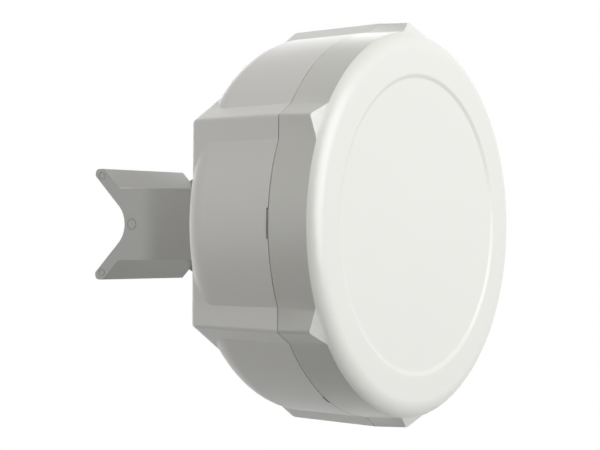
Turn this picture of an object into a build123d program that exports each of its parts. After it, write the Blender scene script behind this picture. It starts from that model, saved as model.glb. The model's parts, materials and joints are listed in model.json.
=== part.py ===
from build123d import *
import math
import os

# Outdoor flat-panel radio antenna with a radome, a sealed electronics bay and a tilting mast bracket.
# Everything is modelled about the seam plane between the two covers: boresight along -Y, +Z up and
# the seam at y = 0. The finished pieces are then shifted so that the origin lies on the pole axis.

os.makedirs("parts", exist_ok=True)

# ---- body outline -----------------------------------------------------------------------------
HEX_R = 70.0              # corner radius of the hexagon at the seam
PANEL_DROP = 3.4          # how far the bulged side panels lie inside the corners
FRONT_TAPER = 0.6         # loss of corner radius from the seam to the front
REAR_TAPER = 1.6          # loss of corner radius from the seam to the back
PANEL_TAPER = 0.9         # loss of the bulged panels' radius from the seam to the back
RIDGE_FILLET = 1.6        # rounding of the hexagon's ridges
MIN_RIDGE = 0.4           # rounding left where the ridges are moved in
FRONT_DEPTH = 17.7        # seam to the radome's front ring
REAR_DEPTH = 38.0         # seam to the back face
REAR_STEP = 1.0           # how far the round body stands proud of the hexagon's back
REAR_EDGE_FILLET = 3.4    # rounding of the hexagon's rear edges
END_STEPS = 5             # facets in that rounding
MIN_EDGE = 0.6            # rounding left at those edges inside the shell
PANEL_REAR_FILLET = 12.0  # rounding of the bulged panels into the back face
MIN_PANEL_ROUND = 1.0     # rounding left there inside the shell
SEAM_GAP = 0.25           # shadow gap between the covers
SEAM_DEPTH = 0.5          # depth of that gap
CUT = 1.0                 # how far a cut runs past the face that it opens
CLEAR_OF_BODY = 5.0       # how far a cut runs past the whole body
NEAR = 0.1                # how close an edge has to be to count as in place

# ---- radome face ------------------------------------------------------------------------------
TOOTH_DEPTH = 12.2        # depth at which the corner teeth end
TOOTH_BEVEL = 2.25        # depth of the bevel between teeth and rim
TOOTH_BEVEL_IN = 3.3      # width of that bevel
RIM_WIDTH = 6.1           # width of the rounded rim
RING_WIDTH = 8.0          # width of the flat front ring
STEP_WIDTH = 2.2          # width of the soft step into the recess
STEP_DEPTH = 0.7          # depth of that step
DISH_DEPTH = 1.3          # depth of the recess at its centre
FRONT_WALL = 2.4          # radome wall

# ---- rear housing -----------------------------------------------------------------------------
REAR_WALL = 3.0
MOUTH_WALL = 1.5          # wall left outside the locating tongue
TONGUE_DEPTH = 3.0
TONGUE_GAP = 0.1
TONGUE_ROOT = 1.0         # how far the tongue is sunk into the front cover's wall
GASKET_THICK = 1.2
GASKET_GAP = 0.1
PRY_SLOTS = ((180, 10.0), (241.8, 4.6))   # direction and length of each
PRY_SLOT_HEIGHT = 0.7
PRY_SLOT_DEPTH = 1.0

# ---- aerial stack -----------------------------------------------------------------------------
TRAY_GAP = 1.6            # tray edge to housing wall
TRAY_SEAT = 6.0           # depth of the tray's back face
TRAY_SHEET = 1.2
TRAY_RIM_IN = 5.5         # rim's outside, inside the tray's edge
TRAY_RIM_HEIGHT = 9.0
BOSS_R = 3.4
BOSS_IN = 5.0             # boss centre inside the cavity's corners
BOSS_SINK = 1.0           # how far bosses are sunk into the back wall
SCREW_R = 1.4
SCREW_HEAD_R = 2.6
SCREW_HEAD_H = 1.8
SCREW_LENGTH = 9.0
SCREW_GAP = 0.15
SOCKET_R = 0.9            # drive recess in each screw head
SOCKET_DEPTH = 1.0
FEED_SIZE = 76.0
FEED_THICK = 1.2
FEED_STANDOFF = 4.0
SPACER_R = 3.0
SPACER_INSET = 6.0
FEED_SCREW_OUT = 1.0      # feed screws beyond the tray
PATCH_SIZE = 24.0
PATCH_PITCH = 38.0
PATCH_THICK = 0.8
PATCH_HEIGHT = 4.0
POST_R = 2.0
POST_PEG_R = 1.2
POST_PEG_PROUD = 0.5      # peg beyond the patch plate
PIN_R = 0.65
PIN_PITCH = 9.0
PIN_TAIL = 1.5
PIN_GAP = 0.1
PIN_CLEAR_R = 2.2         # opening around each pin in the tray

# ---- main board -------------------------------------------------------------------------------
BOARD_LENGTH = 70.0
BOARD_WIDTH = 52.0
BOARD_THICK = 1.6
BOARD_HOLE_INSET = 4.0
JACK_LENGTH = 21.3
JACK_WIDTH = 16.0
JACK_HEIGHT = 13.5
JACK_SOCKET_W = 11.9
JACK_SOCKET_H = 8.0
JACK_SOCKET_DEPTH = 14.0
JACK_LATCH_W = 6.2
JACK_LATCH_H = 2.6
CONTACT_COUNT = 8
CONTACT_PITCH = 1.02
CONTACT_WIDTH = 0.45
CONTACT_DROP = 1.2
CONTACT_SET_BACK = 3.0    # contacts' front ends behind the jack's mouth
JACK_BACK_GAP = 4.0       # jack to the inside of the back wall
BAY_DEPTH = 19.0          # jack mouth to the side wall
JACK_OVERHANG = 1.0
SHIELD_LENGTH = 22.0      # along X, centred on the feed pins
SHIELD_WIDTH = 30.0
SHIELD_HEIGHT = 3.2
SHIELD_SHEET = 0.3
SHIELD_CORNER = 1.0
CHIP_GAP = 0.05
CPU_SIZE = 12.0
CPU_THICK = 1.2
MEMORY_SIZE = 8.0
CHIP_LANE = 2.0           # chips kept clear of the line of the feed pins
COIL_BODY = (12.0, 7.0, 4.2)
COIL_GAP = 2.0            # transformer to the jack
CAP_R = 3.1
CAP_HEIGHT = 7.0
CAP_PITCH = 7.0
CAP_COUNT = 3
CAP_GAP = 1.0             # capacitors to the bay wall and the jack
LED_COUNT = 5
LED_PITCH = 3.6
LED_SIZE = 1.6
LED_HEIGHT = 0.9
PIPE_R = 1.1
PIPE_GAP = 0.15
PIPE_BAR = 2.0
PIPE_BAR_GAP = 1.0        # joining bar to the inside of the back wall
PIPE_LED_GAP = 0.3
PIPE_INSET = 3.0          # pipes inside the board's edge
RESET_BODY = 6.0
RESET_BODY_H = 3.4
RESET_STEM_R = 1.7
RESET_STEM_H = 2.4
RESET_TRAVEL = 0.5
RESET_GAP = 0.08
RESET_SIDE_GAP = 1.0      # switch to the jack

# ---- cable door -------------------------------------------------------------------------------
DOOR_HALF = 17.0
DOOR_LAP = 10.0           # how far the door reaches back over the jack
DOOR_GAP = 0.3
DOOR_TAB_LENGTH = 4.0
DOOR_TAB_HALF = 7.0
DOOR_TAB_THICK = 1.6
LEDGE_WIDTH = 1.6
LEDGE_THICK = 1.6
BAY_WALL = 1.8            # walls between the cable bay and the electronics
BAY_GAP = 0.3             # those walls to the board and the jack
CABLE_R = 2.8             # bore of the cable grommet
GROMMET_NECK_R = 4.4
GROMMET_FLANGE_R = 6.0
GROMMET_FLANGE = 2.0
GROMMET_GAP = 0.2
GROMMET_SKEW = 1.2        # extra groove width over the curved panel
FINGER_RIB_COUNT = 3
FINGER_RIB_PITCH = 2.4
FINGER_RIB = 0.7
FINGER_RIB_START = 6.0    # first rib from the door's inner end

# ---- tilt pivot -------------------------------------------------------------------------------
PIVOT_OFFSET = 14.0       # pivot axis behind the back face
PIVOT_R = 3.0             # bore through the knuckle and the ears
PIVOT_GAP = 0.05
EAR_THICK = 5.0
EAR_R = 8.0
EAR_FOOT = 4.0            # how much wider the ears are at the back face
WASHER_THICK = 1.0
WASHER_R = 6.5
WASHER_GAP = 0.1
HEX_HEAD_AF = 10.0
HEX_HEAD_H = 4.0
NUT_H = 5.0
THREAD_OUT = 2.0
HEAD_GAP = 0.05

# ---- mast bracket -----------------------------------------------------------------------------
WEB_HALF = 13.0           # half height of the web and knuckle
JAW_HALF = 23.9           # half length of the jaws along the pole
SADDLE_R = 9.6            # rounded bottom of the pole notch
SADDLE_FROM_PIVOT = 50.9  # pivot axis to the centre of that rounding
JAW_HALF_HEIGHT = 20.3
JAW_WALL = 4.5
JAW_BACK = 4.0            # plastic behind the notch
JAW_REACH = 4.1           # jaw tips beyond the saddle axis
JAW_TIP_FILLET = 1.7
KNUCKLE_R = 8.0
NECK_LENGTH = 12.0        # straight neck from the pivot axis
FLANK_LENGTH = 11.3       # straight flank beside the strap window
FLANK_WALL = 3.2
WAIST_FILLET = 2.5
FLANK_FILLET = 9.0
WINDOW_ROOT = 8.0         # neck left behind the strap window's corner
WINDOW_LEAD = 1.0         # straight sides of the window past the bend
END_PLATE = 2.6
END_PLATE_HALF = 17.8
END_PLATE_LENGTH = 22.0
MARK_R = 2.1
MARK_DEPTH = 0.15         # ejector marks
MARK_WIDTH = 0.35
MARK_FROM_NOTCH = 3.4
TIP_MARK_R = 1.5
TIP_MARK_IN = 2.6         # tip marks' centres inside the jaws' outer faces

# ---- worked out from the above ----------------------------------------------------------------
PANEL_R = HEX_R - PANEL_DROP
COS30 = math.cos(math.radians(30))
INNER_BACK = REAR_DEPTH - REAR_WALL
BOARD_BACK = INNER_BACK - JACK_BACK_GAP - JACK_HEIGHT
BOARD_FRONT = BOARD_BACK - BOARD_THICK
JACK_Y = BOARD_BACK + JACK_HEIGHT / 2
SIDE_INNER_X = PANEL_R - REAR_WALL
JACK_FRONT_X = SIDE_INNER_X - BAY_DEPTH
BOARD_X1 = JACK_FRONT_X - JACK_OVERHANG
BOARD_X0 = BOARD_X1 - BOARD_LENGTH
DOOR_X0 = JACK_FRONT_X - DOOR_LAP
DOOR_Y0 = JACK_Y - GROMMET_FLANGE_R
TRAY_R = PANEL_R - REAR_WALL - TRAY_GAP
TRAY_FRONT = TRAY_SEAT - TRAY_SHEET
FEED_BACK = TRAY_FRONT - FEED_STANDOFF
FEED_FRONT = FEED_BACK - FEED_THICK
PATCH_BACK = FEED_FRONT - PATCH_HEIGHT
PIVOT_Y = REAR_DEPTH + PIVOT_OFFSET
SADDLE_Y = PIVOT_Y + SADDLE_FROM_PIVOT
NOTCH_Y = SADDLE_Y - SADDLE_R
EAR_IN = WEB_HALF + WASHER_THICK + 2 * WASHER_GAP
EAR_OUT = EAR_IN + EAR_THICK


# ---- helpers ----------------------------------------------------------------------------------
def block(x0, x1, y0, y1, z0, z1):
    return Pos((x0 + x1) / 2, (y0 + y1) / 2, (z0 + z1) / 2) * Box(x1 - x0, y1 - y0, z1 - z0)


def rod_y(r, y0, y1, x=0.0, z=0.0):
    return Pos(x, (y0 + y1) / 2, z) * Rot(90, 0, 0) * Cylinder(r, abs(y1 - y0))


def rod_x(r, x0, x1, y=0.0, z=0.0):
    return Pos((x0 + x1) / 2, y, z) * Rot(0, 90, 0) * Cylinder(r, abs(x1 - x0))


def rod_z(r, z0, z1, x=0.0, y=0.0):
    return Pos(x, y, (z0 + z1) / 2) * Cylinder(r, abs(z1 - z0))


def turned(points):
    """Solid of revolution about the boresight from (radius, depth) points."""
    return revolve(make_face(Polyline(*points, close=True)), Axis.Y, 360)


def prism_x(points, x0, x1):
    """Prism along X from (y, z) points."""
    outline = make_face(Polyline(*[(x0, y, z) for y, z in points], close=True))
    return extrude(outline, amount=x1 - x0, dir=(1, 0, 0))


def prism_z(points, z0, z1):
    """Prism along Z from (x, y) points."""
    outline = make_face(Polyline(*[(x, y, z0) for x, y in points], close=True))
    return extrude(outline, amount=z1 - z0, dir=(0, 0, 1))


def hexagon(reach, inset, y):
    """Hexagon at depth y whose rounded corners reach out that far, then moved in by inset."""
    ridge = max(RIDGE_FILLET - inset, MIN_RIDGE)
    corner_r = reach + RIDGE_FILLET * (1 / COS30 - 1) - inset / COS30
    outline = RegularPolygon(corner_r, 6, rotation=30)
    plane = Plane((0, y, 0), x_dir=(1, 0, 0), z_dir=(0, 1, 0))
    return plane * fillet(outline.vertices(), ridge)


def around(r, angles):
    """(x, z) places at radius r."""
    return [(r * math.cos(math.radians(a)), r * math.sin(math.radians(a))) for a in angles]


def group(solids):
    return Compound(children=list(solids))


def screw(x, z, head_y, length, toward_back=True):
    """Pan-head screw along Y whose head's underside is at head_y."""
    way = 1 if toward_back else -1
    body = rod_y(SCREW_R, head_y, head_y + way * length, x, z)
    body += rod_y(SCREW_HEAD_R, head_y, head_y - way * SCREW_HEAD_H, x, z)
    top = head_y - way * SCREW_HEAD_H
    return body - rod_y(SOCKET_R, top, top + way * SOCKET_DEPTH, x, z)


# ---- covers -----------------------------------------------------------------------------------
def hex_body(inset, y_end, taper, depth, end_round):
    """Tapered hexagon from the seam to y_end, with every face moved in by inset."""
    way = math.copysign(1, y_end)
    levels = [(0.0, 0.0)]
    if end_round > 0:
        for i in range(END_STEPS + 1):
            a = math.radians(90 * i / END_STEPS)
            levels.append((y_end - way * end_round * (1 - math.sin(a)), end_round * (1 - math.cos(a))))
    else:
        levels.append((y_end, 0.0))
    rings = [hexagon(HEX_R - taper * abs(y) / depth, inset + drop, y) for y, drop in levels]
    return loft(rings, ruled=True)


def front_blank(inset, face_inset):
    """Outside of the front cover, or its cavity when moved in."""
    depth = FRONT_DEPTH - face_inset
    body = hex_body(inset, -FRONT_DEPTH, FRONT_TAPER, FRONT_DEPTH, 0)
    panel_end = PANEL_R - FRONT_TAPER
    body += turned([(0, 0), (PANEL_R - inset, 0), (panel_end - inset, -FRONT_DEPTH), (0, -FRONT_DEPTH)])
    tooth_r = HEX_R - FRONT_TAPER - inset
    rim_r = tooth_r - TOOTH_BEVEL_IN
    bevel_y = -(TOOTH_DEPTH + TOOTH_BEVEL - face_inset)
    slope = TOOTH_BEVEL / TOOTH_BEVEL_IN
    ring_r = rim_r - RIM_WIDTH
    recess_r = ring_r - RING_WIDTH
    floor_r = recess_r - STEP_WIDTH
    step_y = -(depth - STEP_DEPTH)
    dish_y = -(depth - DISH_DEPTH)
    wide = HEX_R + CUT
    # the rim is a quarter-like arc that meets the flat ring tangentially
    drop = depth + bevel_y
    rim_arc_r = (RIM_WIDTH ** 2 + drop ** 2) / (2 * drop)
    mid = math.asin(RIM_WIDTH / rim_arc_r) / 2
    rim_mid = (ring_r + rim_arc_r * math.sin(mid), -depth + rim_arc_r * (1 - math.cos(mid)))
    outline = Polyline((0, dish_y), (0, 0), (wide, 0), (wide, bevel_y + slope * (wide - rim_r)),
                       (rim_r, bevel_y))
    outline += ThreePointArc((rim_r, bevel_y), rim_mid, (ring_r, -depth))
    outline += Line((ring_r, -depth), (recess_r, -depth))
    step_r = (recess_r + floor_r) / 2
    outline += Bezier((recess_r, -depth), (step_r, -depth), (step_r, step_y), (floor_r, step_y))
    sagitta = dish_y - step_y
    dish_arc_r = (floor_r ** 2 + sagitta ** 2) / (2 * sagitta)
    dish_mid_y = dish_y - dish_arc_r + math.sqrt(dish_arc_r ** 2 - (floor_r / 2) ** 2)
    outline += ThreePointArc((floor_r, step_y), (floor_r / 2, dish_mid_y), (0, dish_y))
    return body & revolve(make_face(outline), Axis.Y, 360)


def rear_blank(inset):
    """Outside of the rear housing, or its cavity when moved in."""
    y_end = REAR_DEPTH - inset
    edge = max(REAR_EDGE_FILLET - inset, MIN_EDGE)
    body = hex_body(inset, y_end - REAR_STEP, REAR_TAPER, REAR_DEPTH, edge)
    end_r = PANEL_R - PANEL_TAPER - inset
    round_r = max(PANEL_REAR_FILLET - inset, MIN_PANEL_ROUND)
    start_r = PANEL_R - inset
    corner = math.sqrt(0.5)
    centre = (end_r - round_r, y_end - round_r)
    outline = Polyline((end_r, centre[1]), (start_r, 0), (0, 0), (0, y_end), (centre[0], y_end))
    arc_mid = (centre[0] + round_r * corner, centre[1] + round_r * corner)
    outline += ThreePointArc((centre[0], y_end), arc_mid, (end_r, centre[1]))
    return body + revolve(make_face(outline), Axis.Y, 360)


def seam_ring(inset_out, inset_in, y0, y1):
    """Ring that follows the covers' outline just inside the seam."""
    def slab(inset):
        body = extrude(hexagon(HEX_R, inset, y0), amount=y1 - y0, dir=(0, 1, 0))
        return body + rod_y(PANEL_R - inset, y0, y1)
    return slab(inset_out) - slab(inset_in)


def pry_slots():
    cut = Part()
    for angle, length in PRY_SLOTS:
        slot = block(PANEL_R - PRY_SLOT_DEPTH, PANEL_R + CUT, 0, PRY_SLOT_HEIGHT, -length / 2, length / 2)
        cut += Rot(0, -angle, 0) * slot
    return cut


def corner_places():
    return around(HEX_R - REAR_WALL / COS30 - BOSS_IN, range(30, 390, 60))


def board_holes():
    x0 = BOARD_X0 + BOARD_HOLE_INSET
    x1 = BOARD_X1 - BOARD_HOLE_INSET
    z = BOARD_WIDTH / 2 - BOARD_HOLE_INSET
    return [(x0, -z), (x0, z), (x1, -z), (x1, z)]


def pipe_places():
    x = BOARD_X0 + BOARD_LENGTH / 2 + LED_PITCH
    z = BOARD_WIDTH / 2 - PIPE_INSET
    return [(x + (i - (LED_COUNT - 1) / 2) * LED_PITCH, z) for i in range(LED_COUNT)]


def door_zone(gap):
    """The part of the shell that the cable door takes, less gap all round."""
    return block(DOOR_X0 + gap, HEX_R + CLEAR_OF_BODY, DOOR_Y0 + gap, REAR_DEPTH + CLEAR_OF_BODY,
                 -DOOR_HALF + gap, DOOR_HALF - gap)


def front_cover():
    body = front_blank(0, 0) - front_blank(FRONT_WALL, FRONT_WALL)
    body -= seam_ring(-CUT, SEAM_DEPTH, -SEAM_GAP, 0)
    tongue_out = MOUTH_WALL + TONGUE_GAP
    return body + seam_ring(tongue_out, REAR_WALL, -TONGUE_ROOT, TONGUE_DEPTH)


def pivot_ears():
    ears = Part()
    for side in (-1, 1):
        z0 = min(side * EAR_IN, side * EAR_OUT)
        z1 = max(side * EAR_IN, side * EAR_OUT)
        foot = EAR_R + EAR_FOOT
        sink = REAR_DEPTH - REAR_WALL / 2
        ears += prism_z([(-foot, sink), (foot, sink), (foot, REAR_DEPTH), (EAR_R, REAR_DEPTH + EAR_FOOT),
                         (EAR_R, PIVOT_Y), (-EAR_R, PIVOT_Y), (-EAR_R, REAR_DEPTH + EAR_FOOT),
                         (-foot, REAR_DEPTH)], z0, z1)
        ears += rod_z(EAR_R, z0, z1, 0, PIVOT_Y)
    return ears - rod_z(PIVOT_R, -EAR_OUT - CUT, EAR_OUT + CUT, 0, PIVOT_Y)


def bay_walls():
    """Walls that close the cable bay off from the electronics, and the ledges under the door."""
    low = BOARD_BACK + BAY_GAP
    high = INNER_BACK + REAR_WALL / 2
    out = DOOR_HALF + BAY_WALL
    far = SIDE_INNER_X - PANEL_TAPER + REAR_WALL / 2
    under = INNER_BACK - DOOR_GAP
    walls = block(JACK_FRONT_X + BAY_GAP, far, DOOR_Y0 - BAY_WALL, DOOR_Y0, -out, out)
    walls += block(DOOR_X0 - BAY_WALL, DOOR_X0, low, high, -out, out)
    for side in (-1, 1):
        z0, z1 = sorted((side * DOOR_HALF, side * out))
        walls += block(DOOR_X0 - BAY_WALL, far, low, high, z0, z1)
        z0, z1 = sorted((side * (DOOR_HALF - LEDGE_WIDTH), side * out))
        walls += block(DOOR_X0, SIDE_INNER_X - PANEL_REAR_FILLET, under - LEDGE_THICK, under, z0, z1)
    jack_half = JACK_WIDTH / 2 + BAY_GAP
    jack_top = BOARD_BACK + JACK_HEIGHT + BAY_GAP
    walls -= block(DOOR_X0 - BAY_WALL - CUT, DOOR_X0, low - CUT, jack_top, -jack_half, jack_half)
    tab_half = DOOR_TAB_HALF + DOOR_GAP
    tab_under = under - DOOR_TAB_THICK - DOOR_GAP
    walls -= block(DOOR_X0 - BAY_WALL - CUT, DOOR_X0, tab_under, INNER_BACK, -tab_half, tab_half)
    return walls & rear_blank(REAR_WALL / 2)


def rear_housing():
    body = rear_blank(0) - rear_blank(REAR_WALL)
    ledge = TONGUE_DEPTH + GASKET_GAP + GASKET_THICK + GASKET_GAP
    body -= seam_ring(MOUTH_WALL, REAR_WALL + CUT, 0, ledge)
    body -= pry_slots()
    for x, z in corner_places():
        body += rod_y(BOSS_R, TRAY_SEAT, INNER_BACK + BOSS_SINK, x, z)
        body -= rod_y(SCREW_R + SCREW_GAP, TRAY_SEAT - CUT, TRAY_SEAT + SCREW_LENGTH, x, z)
    for x, z in board_holes():
        body += rod_y(BOSS_R, BOARD_BACK, INNER_BACK + BOSS_SINK, x, z)
        body -= rod_y(SCREW_R + SCREW_GAP, BOARD_BACK - CUT, BOARD_BACK + SCREW_LENGTH, x, z)
    body -= door_zone(0)
    body += bay_walls()
    for x, z in pipe_places():
        body -= rod_y(PIPE_R + PIPE_GAP, INNER_BACK - CUT, REAR_DEPTH + CUT, x, z)
    return body + pivot_ears()


def cover_gasket():
    y0 = TONGUE_DEPTH + GASKET_GAP
    return seam_ring(MOUTH_WALL + TONGUE_GAP, REAR_WALL - TONGUE_GAP, y0, y0 + GASKET_THICK)


# ---- aerial stack -----------------------------------------------------------------------------
def spacer_places():
    d = FEED_SIZE / 2 - SPACER_INSET
    return [(-d, -d), (-d, d), (d, -d), (d, d)]


def patch_places():
    d = PATCH_PITCH / 2
    return [(-d, -d), (-d, d), (d, -d), (d, d)]


def pin_places():
    return [(-PIN_PITCH / 2, 0.0), (PIN_PITCH / 2, 0.0)]


def reflector_tray():
    body = rod_y(TRAY_R, TRAY_FRONT, TRAY_SEAT)
    for x, z in corner_places():
        body += rod_y(BOSS_R, TRAY_FRONT, TRAY_SEAT, x, z)
    rim_r = TRAY_R - TRAY_RIM_IN
    rim = rod_y(rim_r, TRAY_FRONT - TRAY_RIM_HEIGHT, TRAY_SEAT)
    rim -= rod_y(rim_r - TRAY_SHEET, TRAY_FRONT - TRAY_RIM_HEIGHT - CUT, TRAY_SEAT + CUT)
    body += rim
    for x, z in corner_places() + spacer_places():
        body -= rod_y(SCREW_R + SCREW_GAP, TRAY_FRONT - CUT, TRAY_SEAT + CUT, x, z)
    for x, z in pin_places():
        body -= rod_y(PIN_CLEAR_R, TRAY_FRONT - CUT, TRAY_SEAT + CUT, x, z)
    return body


def tray_screws():
    return group(screw(x, z, TRAY_FRONT, SCREW_LENGTH) for x, z in corner_places())


def feed_board():
    half = FEED_SIZE / 2
    body = block(-half, half, FEED_FRONT, FEED_BACK, -half, half)
    body = fillet(body.edges().filter_by(Axis.Y), SPACER_R)
    for x, z in spacer_places():
        body -= rod_y(SCREW_R + SCREW_GAP, FEED_FRONT - CUT, FEED_BACK + CUT, x, z)
    for x, z in patch_places():
        body -= rod_y(POST_PEG_R + PIN_GAP, FEED_FRONT - CUT, FEED_BACK + CUT, x, z)
    for x, z in pin_places():
        body -= rod_y(PIN_R + PIN_GAP, FEED_FRONT - CUT, FEED_BACK + CUT, x, z)
    return body


def feed_spacers():
    return group(rod_y(SPACER_R, FEED_BACK, TRAY_FRONT, x, z)
                 - rod_y(SCREW_R + SCREW_GAP, FEED_BACK - CUT, TRAY_FRONT + CUT, x, z)
                 for x, z in spacer_places())


def feed_screws():
    length = FEED_THICK + FEED_STANDOFF + TRAY_SHEET + FEED_SCREW_OUT
    return group(screw(x, z, FEED_FRONT, length) for x, z in spacer_places())


def patch_plates():
    half = PATCH_SIZE / 2
    plates = []
    for x, z in patch_places():
        plate = block(x - half, x + half, PATCH_BACK - PATCH_THICK, PATCH_BACK, z - half, z + half)
        hole = rod_y(POST_PEG_R + PIN_GAP, PATCH_BACK - PATCH_THICK - CUT, PATCH_BACK + CUT, x, z)
        plates.append(plate - hole)
    return group(plates)


def patch_posts():
    posts = []
    for x, z in patch_places():
        post = rod_y(POST_R, PATCH_BACK, FEED_FRONT, x, z)
        peg_y = PATCH_BACK - PATCH_THICK - POST_PEG_PROUD
        posts.append(post + rod_y(POST_PEG_R, peg_y, FEED_BACK, x, z))
    return group(posts)


def feed_pins():
    y0 = FEED_FRONT - PIN_TAIL
    return group(rod_y(PIN_R, y0, BOARD_BACK + PIN_TAIL, x, z) for x, z in pin_places())


# ---- main board -------------------------------------------------------------------------------
def main_board():
    half = BOARD_WIDTH / 2
    body = block(BOARD_X0, BOARD_X1, BOARD_FRONT, BOARD_BACK, -half, half)
    body = fillet(body.edges().filter_by(Axis.Y), BOARD_HOLE_INSET / 2)
    for x, z in board_holes():
        body -= rod_y(SCREW_R + SCREW_GAP, BOARD_FRONT - CUT, BOARD_BACK + CUT, x, z)
    for x, z in pin_places():
        body -= rod_y(PIN_R + PIN_GAP, BOARD_FRONT - CUT, BOARD_BACK + CUT, x, z)
    return body


def board_screws():
    return group(screw(x, z, BOARD_FRONT, SCREW_LENGTH) for x, z in board_holes())


def rf_shield():
    x = SHIELD_LENGTH / 2
    z = SHIELD_WIDTH / 2
    top = BOARD_BACK + SHIELD_HEIGHT
    skin = SHIELD_SHEET
    outer = block(-x, x, BOARD_BACK, top, -z, z)
    outer = fillet(outer.edges().filter_by(Axis.Y), SHIELD_CORNER)
    return outer - block(skin - x, x - skin, BOARD_BACK - CUT, top - skin, skin - z, z - skin)


def chip(size, side):
    """Square chip beside the line of the feed pins, on that side of it."""
    y0 = BOARD_BACK + CHIP_GAP
    z0, z1 = sorted((side * CHIP_LANE, side * (CHIP_LANE + size)))
    return block(-size / 2, size / 2, y0, y0 + CPU_THICK, z0, z1)


def processor():
    return chip(CPU_SIZE, 1)


def memory_chip():
    return chip(MEMORY_SIZE, -1)


def line_transformer():
    length, width, height = COIL_BODY
    x1 = JACK_FRONT_X - JACK_LENGTH - COIL_GAP
    return block(x1 - width, x1, BOARD_BACK, BOARD_BACK + height, -length / 2, length / 2)


def capacitors():
    x = DOOR_X0 - BAY_WALL - CAP_R - CAP_GAP
    z = -(JACK_WIDTH / 2 + CAP_R + CAP_GAP)
    return group(rod_y(CAP_R, BOARD_BACK, BOARD_BACK + CAP_HEIGHT, x - i * CAP_PITCH, z)
                 for i in range(CAP_COUNT))


def ethernet_jack():
    x0 = JACK_FRONT_X - JACK_LENGTH
    top = BOARD_BACK + JACK_HEIGHT
    body = block(x0, JACK_FRONT_X, BOARD_BACK, top, -JACK_WIDTH / 2, JACK_WIDTH / 2)
    y0 = JACK_Y - JACK_SOCKET_H / 2
    deep = JACK_FRONT_X - JACK_SOCKET_DEPTH
    mouth = JACK_FRONT_X + CUT
    body -= block(deep, mouth, y0, y0 + JACK_SOCKET_H, -JACK_SOCKET_W / 2, JACK_SOCKET_W / 2)
    latch_top = y0 + JACK_SOCKET_H + JACK_LATCH_H
    return body - block(deep, mouth, y0, latch_top, -JACK_LATCH_W / 2, JACK_LATCH_W / 2)


def jack_contacts():
    """Sprung wires along the board side of the socket."""
    y0 = JACK_Y - JACK_SOCKET_H / 2
    deep = JACK_FRONT_X - JACK_SOCKET_DEPTH
    front = JACK_FRONT_X - CONTACT_SET_BACK
    wires = []
    for i in range(CONTACT_COUNT):
        z = (i - (CONTACT_COUNT - 1) / 2) * CONTACT_PITCH
        wire = prism_z([(deep, y0 + CONTACT_DROP), (deep, y0 + CONTACT_DROP - CONTACT_WIDTH),
                        (front, y0), (front, y0 + CONTACT_WIDTH)],
                       z - CONTACT_WIDTH / 2, z + CONTACT_WIDTH / 2)
        wires.append(wire)
    return group(wires)


def status_leds():
    half = LED_SIZE / 2
    return group(block(x - half, x + half, BOARD_BACK, BOARD_BACK + LED_HEIGHT, z - half, z + half)
                 for x, z in pipe_places())


def light_pipe():
    places = pipe_places()
    y0 = BOARD_BACK + LED_HEIGHT + PIPE_LED_GAP
    bar_y = INNER_BACK - PIPE_BAR - PIPE_BAR_GAP
    z = places[0][1]
    body = block(places[0][0] - PIPE_R, places[-1][0] + PIPE_R, bar_y, bar_y + PIPE_BAR,
                 z - PIPE_R, z + PIPE_R)
    for x, z in places:
        body += rod_y(PIPE_R, y0, REAR_DEPTH, x, z)
    return body


def reset_place():
    x = JACK_FRONT_X - RESET_BODY / 2 - JACK_OVERHANG
    return x, JACK_WIDTH / 2 + RESET_BODY / 2 + RESET_SIDE_GAP


def reset_switch():
    x, z = reset_place()
    half = RESET_BODY / 2
    body = block(x - half, x + half, BOARD_BACK, BOARD_BACK + RESET_BODY_H, z - half, z + half)
    well = BOARD_BACK + RESET_BODY_H - RESET_STEM_H / 2 - RESET_TRAVEL - RESET_GAP
    return body - rod_y(RESET_STEM_R + RESET_GAP, well, BOARD_BACK + RESET_BODY_H + CUT, x, z)


def reset_button():
    x, z = reset_place()
    y0 = BOARD_BACK + RESET_BODY_H - RESET_STEM_H / 2
    return rod_y(RESET_STEM_R, y0, y0 + RESET_STEM_H, x, z)


# ---- cable door -------------------------------------------------------------------------------
def cable_door():
    body = (rear_blank(0) - rear_blank(REAR_WALL)) & door_zone(DOOR_GAP)
    body = body.solids().sort_by(SortBy.VOLUME)[-1]
    notch_r = GROMMET_NECK_R + GROMMET_GAP
    outside = HEX_R + CLEAR_OF_BODY
    body -= rod_x(notch_r, DOOR_X0 + DOOR_LAP, outside, JACK_Y)
    body -= block(DOOR_X0 + DOOR_LAP, outside, DOOR_Y0 - CUT, JACK_Y, -notch_r, notch_r)
    top = INNER_BACK - DOOR_GAP
    tab_x0 = DOOR_X0 - DOOR_TAB_LENGTH
    tab_x1 = DOOR_X0 + DOOR_TAB_LENGTH
    body += block(tab_x0, tab_x1, top - DOOR_TAB_THICK, top, -DOOR_TAB_HALF, DOOR_TAB_HALF)
    root_y = INNER_BACK + REAR_WALL / 2
    body += block(DOOR_X0 + DOOR_GAP, tab_x1, top, root_y, -DOOR_TAB_HALF, DOOR_TAB_HALF)
    for i in range(FINGER_RIB_COUNT):
        x = DOOR_X0 + FINGER_RIB_START + i * FINGER_RIB_PITCH
        body += rod_z(FINGER_RIB, -DOOR_TAB_HALF, DOOR_TAB_HALF, x, REAR_DEPTH)
    return body


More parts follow.
